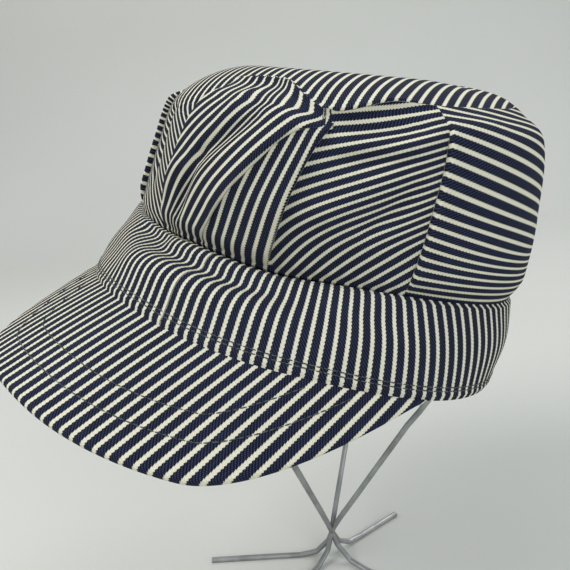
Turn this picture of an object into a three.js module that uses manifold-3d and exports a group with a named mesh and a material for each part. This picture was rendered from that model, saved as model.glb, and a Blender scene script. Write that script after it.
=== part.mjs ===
// A striped denim conductor cap on a plain wire stand, in millimetres, +Z up.
// The front of the cap, with its visor, points along -Y and the wearer's left side along +X.
// The cap leans on the stand: its own frame is turned and set down by the values below.
import * as THREE from "three";
import { mergeVertices } from "three/addons/utils/BufferGeometryUtils.js";
import Module from "manifold-3d";

const degrees = Math.PI / 180;

// Where the cap sits: its own origin is the middle of the head opening.
const capPlace = { x: -11, y: 12.2, z: 147, leanLeft: 16, leanBack: 5 };

const clothWall = 2;
const pieceGap = 0.4;

// The head opening and the crown's rings are ovals in the cap's own frame. x and y are an oval's middle.
const openingOval = { x: 1.5, y: 2.5, halfWidth: 102.5, halfLength: 83.5 };
const openingHeight = { back: 3, front: 20 };
// The band is one strip, sewn up to the crown at a lean: inward at the front and a little outward behind.
const bandStrip = { height: 37, frontLean: 46, backLean: -8 };
// The front's lift and lean fade out between these shares of the way round, to each side of their middle.
const frontLift = { middle: 0.045, near: 0.06, far: 0.33 };
const frontLean = { middle: 0, near: 0.05, far: 0.38 };

const bulgeOval = { x: 8, y: 17, halfWidth: 88, halfLength: 79 };
const shoulderOval = { x: 8, y: 15, halfWidth: 77, halfLength: 73 };
const topOval = { x: 4, y: 9, halfWidth: 46, halfLength: 42 };
const crownHeights = { bulge: 78, shoulder: 106, top: 119 };
// The top slopes: this much higher for each millimetre to the left and to the back.
const topSlope = { left: 0.09, back: 0.035 };
const crownMiddleHeight = 119;

// The four panels lie over the corners between them. Each fold edge is a share of the way round,
// at the seam and at the shoulder, where the fold runs out.
const panelRows = [
  { from: { seam: -0.1, shoulder: -0.03 }, to: { seam: 0.059, shoulder: 0.104 } },
  { from: { seam: 0.178, shoulder: 0.192 }, to: { seam: 0.322, shoulder: 0.312 } },
  { from: { seam: 0.43, shoulder: 0.42 }, to: { seam: 0.57, shoulder: 0.58 } },
  { from: { seam: 0.678, shoulder: 0.688 }, to: { seam: 0.822, shoulder: 0.84 } },
];
const foldRaise = 3;
const foldWidth = 0.005;
const shoulderLevel = 0.5;

// The band stands out most at its front, and the power says how soon that fades to the sides.
const bandBulge = { front: 5, sides: 1.5, power: 3 };
// A short step of the way round, to find which way an edge runs.
const shareStep = 0.002;

// The stiff visor runs out from the band's bottom edge along one direction of the cap's frame.
const visorDirection = new THREE.Vector3(-0.093, -0.918, -0.386).normalize();
const visorThickness = 4;
const visorTuck = 2;
// It keeps its full reach as far round as squareTo and has narrowed by taperTo. Its ends are at 1.
const visor = { reach: 54, endReach: 3, squareTo: 0.37, taperTo: 0.95 };
const visorEnd = 0.19;
const visorMiddle = 0.004;

// The stand: four wires joined where they cross, each with a foot that lies on the table.
const stand = { x: 1, y: 25.2, wire: 1.5, crossing: 17, bend: 110, footFlat: 0.15, halfSides: 5 };
// Where a wire leaves the table: its reach from the crossing and its height, from the foot inward.
const footBend = [
  { reach: 7.5, height: 4 },
  { reach: 1.2, height: 12 },
];
const footFlatFrom = 16;
// A wire's start past the crossing, two places on its straight run up, and one between elbow and tip.
const uprightRun = { start: 0.5, low: 0.3, high: 0.75, pastElbow: 0.35 };
// Directions are degrees from the front toward the wearer's left. The tip is in the cap's frame.
const wireRows = [
  { foot: -55, footLength: 71, upright: 107, spread: 0.65, tip: { reach: 46, height: 118.5 } },
  { foot: -5, footLength: 66, upright: 185, spread: 0.62, tip: { reach: 46, height: 116.5 } },
  { foot: 85, footLength: 66, upright: -95, spread: 0.7, tip: { reach: 42, height: 109 } },
  { foot: 162, footLength: 50, upright: 10, spread: 0.55, tip: { reach: 44, height: 107 } },
];

const denim = new THREE.MeshStandardMaterial({ color: 0x3a435c, roughness: 0.9, metalness: 0 });
const visorDenim = new THREE.MeshStandardMaterial({ color: 0x4a5268, roughness: 0.9, metalness: 0 });
const bandDenim = new THREE.MeshStandardMaterial({ color: 0x565d70, roughness: 0.9, metalness: 0 });
const steel = new THREE.MeshStandardMaterial({ color: 0x8b908f, roughness: 0.35, metalness: 1 });

// A smooth curve through four neighbouring values, from the second to the third as t goes from 0 to 1.
function smoothStepOf(a, b, c, d, t) {
  const square = (2 * a - 5 * b + 4 * c - d) * t * t;
  const cube = (3 * b - a - 3 * c + d) * t * t * t;
  return 0.5 * (2 * b + (c - a) * t + square + cube);
}

function outward(share) {
  const angle = 2 * Math.PI * share;
  return new THREE.Vector3(Math.sin(angle), -Math.cos(angle), 0);
}

function between(value, low, high) {
  return Math.min(1, Math.max(0, (value - low) / (high - low)));
}

// Where a line outward from the cap's axis meets an oval.
function ovalPoint(oval, share, height) {
  const way = outward(share);
  const [wide, long] = [oval.halfWidth ** -2, oval.halfLength ** -2];
  const square = way.x * way.x * wide + way.y * way.y * long;
  const cross = way.x * oval.x * wide + way.y * oval.y * long;
  const rest = oval.x * oval.x * wide + oval.y * oval.y * long - 1;
  const reach = (cross + Math.sqrt(cross * cross - square * rest)) / square;
  return way.multiplyScalar(reach).setZ(height);
}

function ovalNormal(oval, point) {
  const x = (point.x - oval.x) / oval.halfWidth ** 2;
  const y = (point.y - oval.y) / oval.halfLength ** 2;
  return new THREE.Vector3(x, y, 0).normalize();
}

function frontness(share, part) {
  const away = share - part.middle;
  return 1 - THREE.MathUtils.smoothstep(Math.abs(away - Math.round(away)), part.near, part.far);
}

function bandBottom(share) {
  const front = frontness(share, frontLift);
  const height = THREE.MathUtils.lerp(openingHeight.back, openingHeight.front, front);
  return ovalPoint(openingOval, share, height);
}

function bandSeam(share) {
  const bottom = bandBottom(share);
  const front = frontness(share, frontLean);
  const lean = THREE.MathUtils.lerp(bandStrip.backLean, bandStrip.frontLean, front) * degrees;
  const inward = ovalNormal(openingOval, bottom).multiplyScalar(-Math.sin(lean) * bandStrip.height);
  return bottom.add(inward).add(new THREE.Vector3(0, 0, Math.cos(lean) * bandStrip.height));
}

function slopedRing(oval, share, height) {
  const point = ovalPoint(oval, share, height);
  point.z += point.x * topSlope.left + point.y * topSlope.back;
  return point;
}

// The crown without its folds. Level 0 is the seam, shoulderLevel the shoulder and 1 the middle of the top.
function crownBase(share, level) {
  const rings = [
    bandSeam(share),
    ovalPoint(bulgeOval, share, crownHeights.bulge),
    slopedRing(shoulderOval, share, crownHeights.shoulder),
    slopedRing(topOval, share, crownHeights.top),
    new THREE.Vector3(0, 0, crownMiddleHeight),
  ];
  const last = rings.length - 1;
  rings.unshift(rings[0].clone().multiplyScalar(2).sub(rings[1]));
  rings.push(rings[last + 1].clone().multiplyScalar(2).sub(rings[last]));
  const place = Math.min(level * last, last - 1e-6);
  const step = Math.floor(place);
  const [a, b, c, d] = rings.slice(step, step + 4);
  const smooth = (axis) => smoothStepOf(a[axis], b[axis], c[axis], d[axis], place - step);
  return new THREE.Vector3(smooth("x"), smooth("y"), smooth("z"));
}

// The outward normal of the crown, from two short steps along it.
function crownNormal(share, level) {
  const small = 0.004;
  const low = Math.max(level - small, 0);
  const high = Math.min(level + small, 0.98);
  const along = crownBase(share + small, level).sub(crownBase(share - small, level));
  const up = crownBase(share, high).sub(crownBase(share, low));
  return along.cross(up).normalize();
}

// How far a panel stands out over the corners: nothing at the seam and above the shoulder.
function foldHeight(level) {
  return foldRaise * between(level, 0, 0.08) * (1 - between(level, shoulderLevel - 0.12, shoulderLevel));
}

function foldShare(edge, level) {
  return THREE.MathUtils.lerp(edge.seam, edge.shoulder, between(level, 0, shoulderLevel));
}

// The columns of the crown's mesh: both edges of each fold, with even steps across panels and corners.
function crownColumns(panelSteps, cornerSteps) {
  const columns = [];
  panelRows.forEach((panel, index) => {
    const next = panelRows[(index + 1) % panelRows.length];
    const turn = index === panelRows.length - 1 ? 1 : 0;
    for (let step = 0; step <= panelSteps; step += 1) {
      const part = step / panelSteps;
      const share = (level) => {
        return THREE.MathUtils.lerp(foldShare(panel.from, level), foldShare(panel.to, level), part);
      };
      columns.push({ share, raised: 1 });
    }
    for (let step = 0; step <= cornerSteps; step += 1) {
      const part = step / cornerSteps;
      const share = (level) => {
        const start = foldShare(panel.to, level) + foldWidth;
        const end = foldShare(next.from, level) + turn - foldWidth;
        return THREE.MathUtils.lerp(start, end, part);
      };
      columns.push({ share, raised: 0 });
    }
  });
  return columns;
}

// A closed geometry from points and triangles.
function solidGeometry(points, triangles) {
  const geometry = new THREE.BufferGeometry();
  const positions = points.flatMap((point) => [point.x, point.y, point.z]);
  geometry.setAttribute("position", new THREE.Float32BufferAttribute(positions, 3));
  geometry.setIndex(triangles.flat());
  geometry.computeVertexNormals();
  return geometry;
}

// Two triangles for each cell of a grid of points, wound so that their faces look one way.
function gridFaces(first, columns, rows, wrap, flip) {
  const triangles = [];
  const across = wrap ? columns : columns - 1;
  for (let row = 0; row < rows - 1; row += 1) {
    for (let column = 0; column < across; column += 1) {
      const a = first + row * columns + column;
      const b = first + row * columns + ((column + 1) % columns);
      const c = b + columns;
      const d = a + columns;
      triangles.push(flip ? [a, c, b] : [a, b, c], flip ? [a, d, c] : [a, c, d]);
    }
  }
  return triangles;
}

function makeCrown() {
  const columns = crownColumns(7, 7);
  const levels = [0, 0.04, 0.09, 0.16, 0.24, 0.32, 0.39, 0.45, 0.5, 0.56, 0.63, 0.72, 0.82, 0.92];
  const outer = [];
  const inner = [];
  for (const level of levels) {
    for (const column of columns) {
      const share = column.share(level);
      const normal = crownNormal(share, level);
      const point = crownBase(share, level).addScaledVector(normal, column.raised * foldHeight(level));
      const inward = level === 0 ? outward(share).negate() : normal.negate();
      const inside = point.clone().addScaledVector(inward, clothWall);
      const lift = new THREE.Vector3(0, 0, level === 0 ? pieceGap / 2 : 0);
      outer.push(point.add(lift));
      inner.push(inside.add(lift));
    }
  }
  const count = columns.length;
  const outerTop = new THREE.Vector3(0, 0, crownMiddleHeight);
  const innerTop = new THREE.Vector3(0, 0, crownMiddleHeight - clothWall);
  const points = [...outer, outerTop, ...inner, innerTop];
  const innerFirst = outer.length + 1;
  const triangles = [
    ...gridFaces(0, count, levels.length, true, false),
    ...gridFaces(innerFirst, count, levels.length, true, true),
  ];
  for (let column = 0; column < count; column += 1) {
    const next = (column + 1) % count;
    const lastRow = (levels.length - 1) * count;
    triangles.push([lastRow + column, lastRow + next, outer.length]);
    triangles.push([innerFirst + lastRow + next, innerFirst + lastRow + column, points.length - 1]);
    triangles.push([next, column, innerFirst + column], [next, innerFirst + column, innerFirst + next]);
  }
  return solidGeometry(points, triangles);
}

// A closed solid lofted through closed sections, either right round or with flat ends.
function loft(sections, wrap) {
  const sides = sections[0].length;
  const points = sections.flat();
  const triangles = [];
  const count = sections.length;
  for (let index = 0; index < (wrap ? count : count - 1); index += 1) {
    const here = index * sides;
    const there = ((index + 1) % count) * sides;
    for (let side = 0; side < sides; side += 1) {
      const next = (side + 1) % sides;
      triangles.push([here + side, there + side, there + next], [here + side, there + next, here + next]);
    }
  }
  if (!wrap) {
    const last = (count - 1) * sides;
    for (let side = 1; side < sides - 1; side += 1) {
      triangles.push([0, side, side + 1], [last, last + side + 1, last + side]);
    }
  }
  return solidGeometry(points, triangles);
}

function makeBand() {
  const steps = 72;
  const heights = [0, 0.15, 0.35, 0.6, 0.82, 1];
  const sections = [];
  for (let index = 0; index < steps; index += 1) {
    const share = index / steps;
    const bottom = bandBottom(share);
    const seam = bandSeam(share).add(new THREE.Vector3(0, 0, -pieceGap / 2));
    const away = outward(share);
    const along = bandBottom(share + shareStep).sub(bandBottom(share - shareStep));
    const normal = along.cross(seam.clone().sub(bottom)).normalize();
    const towardFront = 0.5 + 0.5 * Math.cos(2 * Math.PI * share);
    const bulge = THREE.MathUtils.lerp(bandBulge.sides, bandBulge.front, towardFront ** bandBulge.power);
    const outer = heights.map((height) => {
      const point = bottom.clone().lerp(seam, height);
      return point.addScaledVector(normal, bulge * Math.sin(Math.PI * height));
    });
    const inner = outer.map((point, step) => {
      const end = step === 0 || step === heights.length - 1;
      return point.clone().addScaledVector(end ? away : normal, -clothWall);
    });
    sections.push([...outer, ...inner.reverse()]);
  }
  return loft(sections, true);
}

// The visor's reach, where turn runs from -1 at the wearer's right end to 1 at the left end.
function visorReach(turn) {
  const taper = THREE.MathUtils.smoothstep(Math.abs(turn), visor.squareTo, visor.taperTo);
  return THREE.MathUtils.lerp(visor.reach, visor.endReach, taper);
}

function makeVisor() {
  const steps = 48;
  const outs = [0, 0.15, 0.4, 0.65, 0.87, 1];
  const down = new THREE.Vector3(0, 0, -1);
  const sections = [];
  for (let index = 0; index <= steps; index += 1) {
    const turn = (2 * index) / steps - 1;
    const share = visorEnd * Math.sin((Math.PI / 2) * turn) + visorMiddle;
    const start = bandBottom(share).addScaledVector(down, pieceGap);
    const along = bandBottom(share + shareStep).sub(bandBottom(share - shareStep));
    const under = along.cross(visorDirection).normalize();
    under.multiplyScalar(-Math.sign(under.z) * visorThickness);
    const reach = visorReach(turn);
    const topSide = outs.map((out) => start.clone().addScaledVector(visorDirection, out * reach));
    const tucked = start.clone().addScaledVector(outward(share), -visorTuck);
    const upper = [tucked, ...topSide];
    const lower = upper.map((point, step) => {
      const offset = step === 0 ? down.clone().multiplyScalar(visorThickness) : under;
      return point.clone().add(offset);
    });
    sections.push([...lower, ...upper.reverse()]);
  }
  return loft(sections, false);
}

const wasm = await Module();
wasm.setup();

function toManifold(geometry) {
  const plain = geometry.clone();
  plain.deleteAttribute("normal");
  plain.deleteAttribute("uv");
  const merged = mergeVertices(plain, 1e-4);
  const vertProperties = new Float32Array(merged.attributes.position.array);
  const triVerts = new Uint32Array(merged.index.array);
  return new wasm.Manifold(new wasm.Mesh({ numProp: 3, vertProperties, triVerts }));
}

function fromManifold(manifold) {
  const mesh = manifold.getMesh();
  const geometry = new THREE.BufferGeometry();
  geometry.setAttribute("position", new THREE.Float32BufferAttribute(mesh.vertProperties, 3));
  geometry.setIndex([...mesh.triVerts]);
  geometry.computeVertexNormals();
  return geometry;
}

// The cap's own frame in the row's frame.
function capMatrix() {
  const turn = new THREE.Matrix4().makeRotationY(capPlace.leanLeft * degrees);
  turn.multiply(new THREE.Matrix4().makeRotationX(-capPlace.leanBack * degrees));
  return turn.setPosition(capPlace.x, capPlace.y, capPlace.z);
}

function wireGeometry(row) {
  const footWay = outward(row.foot / 360);
  const upWay = outward(row.upright / 360);
  const at = (way, reach, height) => new THREE.Vector3(stand.x, stand.y, height).addScaledVector(way, reach);
  const rest = stand.wire - stand.footFlat;
  const rise = stand.bend - stand.crossing;
  const tip = upWay.clone().multiplyScalar(row.tip.reach).setZ(row.tip.height).applyMatrix4(capMatrix());
  const elbow = at(upWay, row.spread * rise, stand.bend);
  const points = [
    at(footWay, row.footLength, rest),
    at(footWay, row.footLength / 2, rest),
    at(footWay, footFlatFrom, rest),
    ...footBend.map((bend) => at(footWay, bend.reach, bend.height)),
    at(upWay, uprightRun.start, stand.crossing),
    at(upWay, row.spread * rise * uprightRun.low, stand.crossing + rise * uprightRun.low),
    at(upWay, row.spread * rise * uprightRun.high, stand.crossing + rise * uprightRun.high),
    elbow,
    elbow.clone().lerp(tip, uprightRun.pastElbow),
    tip,
  ];
  const path = new THREE.CatmullRomCurve3(points, false, "centripetal");
  const section = new THREE.Shape();
  section.absarc(0, 0, stand.wire, 0, 2 * Math.PI, false);
  return new THREE.ExtrudeGeometry(section, { steps: 32, extrudePath: path, curveSegments: stand.halfSides });
}

// The joined wires as one solid, with the undersides of the feet cut level with the table.
function makeStand() {
  const wires = wireRows.map((row) => toManifold(wireGeometry(row)));
  const joined = wires.reduce((whole, wire) => whole.add(wire));
  const below = new THREE.BoxGeometry(300, 300, 20);
  below.translate(stand.x, stand.y, -10);
  return fromManifold(joined.subtract(toManifold(below)));
}

function namedMesh(name, geometry, material) {
  const mesh = new THREE.Mesh(geometry, material);
  mesh.name = name;
  return mesh;
}

const cap = new THREE.Group();
cap.applyMatrix4(capMatrix());
cap.add(namedMesh("crown", makeCrown(), denim));
cap.add(namedMesh("band", makeBand(), bandDenim));
cap.add(namedMesh("visor", makeVisor(), visorDenim));

const group = new THREE.Group();
group.add(cap);
group.add(namedMesh("wire_stand", makeStand(), steel));

export default group;
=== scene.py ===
import math

import bpy
import numpy as np
from mathutils import Matrix


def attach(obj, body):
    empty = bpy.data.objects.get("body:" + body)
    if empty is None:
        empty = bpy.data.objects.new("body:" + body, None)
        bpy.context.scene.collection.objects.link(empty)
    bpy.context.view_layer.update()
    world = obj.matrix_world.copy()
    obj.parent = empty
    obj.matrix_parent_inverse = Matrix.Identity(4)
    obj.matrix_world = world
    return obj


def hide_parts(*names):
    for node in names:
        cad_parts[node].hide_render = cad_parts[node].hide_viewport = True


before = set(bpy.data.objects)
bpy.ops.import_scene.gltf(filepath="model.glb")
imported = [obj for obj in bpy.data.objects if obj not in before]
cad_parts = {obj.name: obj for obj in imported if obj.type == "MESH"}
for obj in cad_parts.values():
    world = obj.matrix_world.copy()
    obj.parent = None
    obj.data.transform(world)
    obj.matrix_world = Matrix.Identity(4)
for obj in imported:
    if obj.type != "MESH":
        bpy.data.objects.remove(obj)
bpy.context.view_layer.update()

# A striped denim conductor cap on a plain wire stand, worked out in millimetres and made in metres. The front
# points along -Y and the wearer's left along +X. A share is a part of the way round the cap, from the front
# toward the wearer's left. A level is a part of the way up the crown, from the seam at 0 to the top at 1.
METRES = 0.001

# Where the cap's own frame sits: its origin is the middle of the head opening
CAP_PLACE = (-11.0, 12.2, 147.0)
CAP_LEAN_LEFT = 16.0
CAP_LEAN_BACK = 5.0

# The camera of the picture, in the same frame as the object
CAMERA_PLACE = (169.5, -204.3, 244.3)
CAMERA_FORWARD = (-0.600, 0.752, -0.272)
CAMERA_RIGHT = (0.795, 0.597, -0.103)
CAMERA_LENS = 37.2
CAMERA_SENSOR = 36.0
CAMERA_NEAREST = 0.01

# The cloth
STRIPE_PITCH = 4.76
YARNS_PER_STRIPE = 11
CROWN_CLOTH = 1.3
# The crown goes down behind the band's top edge
HEM_DROP = 3.0
HEM_INWARD = 1.6
# The crown's inside face takes one row of the outer face in so many
INSIDE_FIRST = 2
INSIDE_STEP = 4

# Ovals in the cap's own frame. x and y are an oval's middle.
OPENING_OVAL = {"x": 1.5, "y": 2.5, "half_width": 102.5, "half_length": 83.5}
OPENING_HEIGHT = {"back": 3, "front": 20}
# The band is one strip at a lean, inward at the front and a little outward behind
BAND_STRIP = {"height": 37, "front_lean": 46, "back_lean": -8}
# The front's lift and lean fade out between these shares, to each side of their middle
FRONT_LIFT = {"middle": 0.045, "near": 0.06, "far": 0.33}
FRONT_LEAN = {"middle": 0.0, "near": 0.05, "far": 0.38}
BULGE_OVAL = {"x": 8, "y": 17, "half_width": 88, "half_length": 79}
SHOULDER_OVAL = {"x": 8, "y": 15, "half_width": 77, "half_length": 73}
TOP_OVAL = {"x": 4, "y": 9, "half_width": 46, "half_length": 42}
CROWN_HEIGHTS = {"bulge": 78, "shoulder": 106, "top": 119}
# The top slopes: this much higher for each millimetre to the left and to the back
TOP_SLOPE = {"left": 0.09, "back": 0.035}
CROWN_MIDDLE = 119.0
# The shoulder's level, and the level of the last ring before the middle of the top
SHOULDER = 0.5
LAST_RING = 0.985
# One share and one level are about this many millimetres of the crown's cloth
ROUND_SCALE = 560.0
LEVEL_SCALE = 150.0
# Short steps over the crown and along the head opening, to find which way they run
CROWN_STEP = 0.004
OPENING_STEP = 0.002

# Where the cloth folds: its share at the seam, half-way up to the shoulder and at the shoulder.
# "over" says which side lies on top, and "depth" is how far the upper cloth stands off the lower.
FOLD_ROWS = [
    {"at": (-0.10, -0.066, -0.03), "over": "after", "depth": 3.0},
    {"at": (-0.024, 0.034, 0.10), "over": "before", "depth": 1.3},
    {"at": (0.059, 0.083, 0.104), "over": "before", "depth": 3.0},
    {"at": (0.178, 0.185, 0.192), "over": "after", "depth": 3.0},
    {"at": (0.322, 0.317, 0.312), "over": "before", "depth": 3.0},
    {"at": (0.43, 0.425, 0.42), "over": "after", "depth": 3.0},
    {"at": (0.57, 0.575, 0.58), "over": "before", "depth": 3.0},
    {"at": (0.678, 0.683, 0.688), "over": "after", "depth": 3.0},
    {"at": (0.822, 0.831, 0.84), "over": "before", "depth": 3.0},
]
FRONT_TUCK, FRONT_RIGHT = FOLD_ROWS[1:3]
# The stretch of cloth that follows each fold. "grain" is the angle of its stripes above the horizontal.
CLOTH_ROWS = [
    {"name": "front_upper", "grain": 60, "raised": 1, "columns": 64},
    {"name": "front_lower", "grain": 80, "raised": 1, "columns": 26},
    {"name": "corner_front_left", "grain": 38, "raised": 0, "columns": 64},
    {"name": "side_left", "grain": -13, "raised": 1, "columns": 44},
    {"name": "corner_back_left", "grain": -45, "raised": 0, "columns": 28},
    {"name": "back", "grain": -90, "raised": 1, "columns": 34},
    {"name": "corner_back_right", "grain": -135, "raised": 0, "columns": 28},
    {"name": "side_right", "grain": 180, "raised": 1, "columns": 34},
    {"name": "corner_front_right", "grain": 142, "raised": 0, "columns": 30},
]
# Raised cloth stands this far out over the corners
PANEL_RAISE = 3.0
# The front's upper cloth rises to the tuck over this width
TUCK_WIDTH = 12
# A fold is at its full depth from this level on, and runs out between the other two
FOLD_FULL = 0.08
FOLD_END = (0.44, 0.53)
# The cloth is drawn in along the seam, by this many millimetres and up to this level
SEAM_DIP = {"depth": 1.2, "level": 0.035}


def mix(low, high, part):
    return low + (high - low) * part


def smoothstep(low, high, value):
    t = np.clip((value - low) / (high - low), 0, 1)
    return t * t * (3 - 2 * t)


def smooth_curve(a, b, c, d, t):
    """A smooth curve through four neighbours, from b to c as t goes from 0 to 1."""
    return 0.5 * (2 * b + (c - a) * t + (2 * a - 5 * b + 4 * c - d) * t**2 + (3 * b - a - 3 * c + d) * t**3)


def unit(vectors):
    return vectors / np.maximum(np.linalg.norm(vectors, axis=-1, keepdims=True), 1e-9)


def running_lengths(steps):
    """How far along a line each of its points is, from the steps between them."""
    return np.concatenate([[0], np.cumsum(np.linalg.norm(steps, axis=1))])


def wrap_share(share):
    """A share of the way round, from -0.5 to 0.5."""
    return (share + 0.5) % 1.0 - 0.5


def outward(share):
    angle = 2 * np.pi * np.asarray(share)
    return np.stack([np.sin(angle), -np.cos(angle), np.zeros_like(angle)], -1)


def oval_point(oval, share, height):
    """Where a line outward from the cap's axis meets an oval."""
    way = outward(share)
    wide, long = oval["half_width"] ** -2, oval["half_length"] ** -2
    square = way[..., 0] ** 2 * wide + way[..., 1] ** 2 * long
    cross = way[..., 0] * oval["x"] * wide + way[..., 1] * oval["y"] * long
    rest = oval["x"] ** 2 * wide + oval["y"] ** 2 * long - 1
    reach = (cross + np.sqrt(cross * cross - square * rest)) / square
    point = way * reach[..., None]
    point[..., 2] = height
    return point


def sloped_ring(oval, share, height):
    point = oval_point(oval, share, height)
    point[..., 2] += point[..., 0] * TOP_SLOPE["left"] + point[..., 1] * TOP_SLOPE["back"]
    return point


def frontness(share, part):
    away = np.abs(wrap_share(np.asarray(share) - part["middle"]))
    return 1 - smoothstep(part["near"], part["far"], away)


def band_bottom(share):
    height = mix(OPENING_HEIGHT["back"], OPENING_HEIGHT["front"], frontness(share, FRONT_LIFT))
    return oval_point(OPENING_OVAL, share, height)


def band_bottom_way(share):
    """The way that the band's bottom edge runs."""
    return band_bottom(share + OPENING_STEP) - band_bottom(share - OPENING_STEP)


def band_seam(share):
    bottom = band_bottom(share)
    front = frontness(share, FRONT_LEAN)
    lean = np.radians(mix(BAND_STRIP["back_lean"], BAND_STRIP["front_lean"], front))
    normal = np.zeros_like(bottom)
    normal[..., 0] = (bottom[..., 0] - OPENING_OVAL["x"]) / OPENING_OVAL["half_width"] ** 2
    normal[..., 1] = (bottom[..., 1] - OPENING_OVAL["y"]) / OPENING_OVAL["half_length"] ** 2
    seam = bottom - unit(normal) * (np.sin(lean) * BAND_STRIP["height"])[..., None]
    seam[..., 2] += np.cos(lean) * BAND_STRIP["height"]
    return seam


def crown_base(share, level):
    """The crown without its folds and dents."""
    share, level = np.broadcast_arrays(np.asarray(share, float), np.asarray(level, float))
    rings = [
        band_seam(share),
        oval_point(BULGE_OVAL, share, CROWN_HEIGHTS["bulge"]),
        sloped_ring(SHOULDER_OVAL, share, CROWN_HEIGHTS["shoulder"]),
        sloped_ring(TOP_OVAL, share, CROWN_HEIGHTS["top"]),
    ]
    rings.append(np.broadcast_to(np.array([0, 0, CROWN_MIDDLE], float), rings[0].shape))
    last = len(rings) - 1
    rings = np.stack([2 * rings[0] - rings[1], *rings, 2 * rings[last] - rings[last - 1]])
    place = np.clip(level * last, 0, last - 1e-6)
    step = np.floor(place).astype(int)
    index = np.indices(step.shape)
    near = [rings[(step + k, *index)] for k in range(4)]
    return smooth_curve(*near, (place - step)[..., None])


def crown_normal(share, level):
    low = np.maximum(level - CROWN_STEP, 0)
    high = np.minimum(level + CROWN_STEP, LAST_RING)
    along = crown_base(share + CROWN_STEP, level) - crown_base(share - CROWN_STEP, level)
    return unit(np.cross(along, crown_base(share, high) - crown_base(share, low)))


def to_world(points):
    """Points of the cap's own frame, in millimetres, to the row's frame in metres."""
    lean_left = Matrix.Rotation(math.radians(CAP_LEAN_LEFT), 3, "Y")
    turn = lean_left @ Matrix.Rotation(math.radians(-CAP_LEAN_BACK), 3, "X")
    return (points @ np.array(turn).T + np.array(CAP_PLACE)) * METRES


def add_object(name, data):
    made = bpy.data.objects.new(name, data)
    bpy.context.scene.collection.objects.link(made)
    return made


def make_mesh(name, points, faces, cloth=None):
    """A mesh object. "cloth" gives each point its place across the stripes, in stripes, its place along them,
    in millimetres, and a zero."""
    mesh = bpy.data.meshes.new(name)
    mesh.from_pydata(np.asarray(points).reshape(-1, 3).tolist(), [], [list(map(int, face)) for face in faces])
    if cloth is not None:
        layer = mesh.attributes.new("cloth", "FLOAT_VECTOR", "POINT")
        layer.data.foreach_set("vector", np.asarray(cloth, np.float32).reshape(-1))
    mesh.polygons.foreach_set("use_smooth", [True] * len(mesh.polygons))
    mesh.update()
    return add_object(name, mesh)


def grid_faces(rows, columns, wrap, closed):
    """Four-sided faces of a grid of points, facing out when the columns go round to the left. "wrap" joins
    the last column to the first, and "closed" the last row to the first."""
    faces = []
    for row in range(rows if closed else rows - 1):
        start, above = row * columns, (row + 1) % rows * columns
        for column in range(columns if wrap else columns - 1):
            after = (column + 1) % columns
            faces.append((start + column, start + after, above + after, above + column))
    return faces


# The crown's soft dents and ridges: from one place to another, each a share and a level, with their width and
# height in millimetres. A height above zero stands out.
DENT_ROWS = [
    {"from": (-0.055, 0.08), "to": (-0.016, 0.30), "width": 5, "height": -2.6},
    {"from": (-0.016, 0.30), "to": (0.040, 0.45), "width": 6, "height": -3.0},
    {"from": (-0.078, 0.14), "to": (-0.045, 0.26), "width": 6, "height": 1.5},
    {"from": (0.010, 0.46), "to": (0.030, 0.56), "width": 9, "height": 1.6},
    {"from": (0.010, 0.18), "to": (0.075, 0.46), "width": 9, "height": 1.6},
    {"from": (0.115, 0.37), "to": (0.165, 0.40), "width": 5, "height": -3.0},
    {"from": (0.150, 0.40), "to": (0.187, 0.47), "width": 5, "height": 2.0},
    {"from": (0.110, 0.46), "to": (0.170, 0.49), "width": 8, "height": -3.0},
    {"from": (0.145, 0.20), "to": (0.172, 0.33), "width": 5, "height": -2.0},
    {"from": (0.100, 0.20), "to": (0.150, 0.34), "width": 9, "height": 1.6},
    {"from": (0.199, 0.50), "to": (0.235, 0.50), "width": 7, "height": 0.8},
    {"from": (0.36, 0.15), "to": (0.39, 0.40), "width": 10, "height": -2.5},
    {"from": (0.45, 0.25), "to": (0.54, 0.30), "width": 12, "height": 2.0},
    {"from": (0.47, 0.55), "to": (0.60, 0.60), "width": 11, "height": -2.5},
    {"from": (0.61, 0.18), "to": (0.65, 0.42), "width": 9, "height": -2.5},
    {"from": (0.72, 0.20), "to": (0.79, 0.28), "width": 13, "height": 2.0},
    {"from": (0.70, 0.56), "to": (0.80, 0.52), "width": 9, "height": -2.0},
    {"from": (0.86, 0.15), "to": (0.885, 0.42), "width": 7, "height": -2.5},
    {"from": (0.32, 0.60), "to": (0.45, 0.70), "width": 13, "height": 2.0},
]
# A dent keeps this part of its height at its very ends, which are this part of its length
DENT_ENDS = {"height": 0.35, "length": 0.02}


def dent_height(share, level):
    total = np.zeros(np.broadcast(share, level).shape)
    for row in DENT_ROWS:
        start = np.array([row["from"][0] * ROUND_SCALE, row["from"][1] * LEVEL_SCALE])
        run = np.array([row["to"][0] * ROUND_SCALE, row["to"][1] * LEVEL_SCALE]) - start
        x = wrap_share(share - row["from"][0]) * ROUND_SCALE
        y = level * LEVEL_SCALE - start[1]
        part = np.clip((x * run[0] + y * run[1]) / (run @ run), 0, 1)
        distance = np.hypot(x - part * run[0], y - part * run[1])
        inside = np.clip(part, DENT_ENDS["length"], 1 - DENT_ENDS["length"])
        fade = mix(DENT_ENDS["height"], 1, np.sin(np.pi * inside) ** 0.5)
        total += row["height"] * fade * np.exp(-((distance / row["width"]) ** 2) * 2)
    return total


def fold_at(row, level):
    seam, middle, shoulder = row["at"]
    part = np.clip(level / SHOULDER, 0, 1)
    return mix(seam, shoulder, part) + 4 * (middle - (seam + shoulder) / 2) * part * (1 - part)


def fold_fade(level):
    """How much of a fold's depth there is at a level: none at the seam or above the shoulder."""
    return smoothstep(0.0, FOLD_FULL, level) * (1 - smoothstep(*FOLD_END, level))


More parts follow.
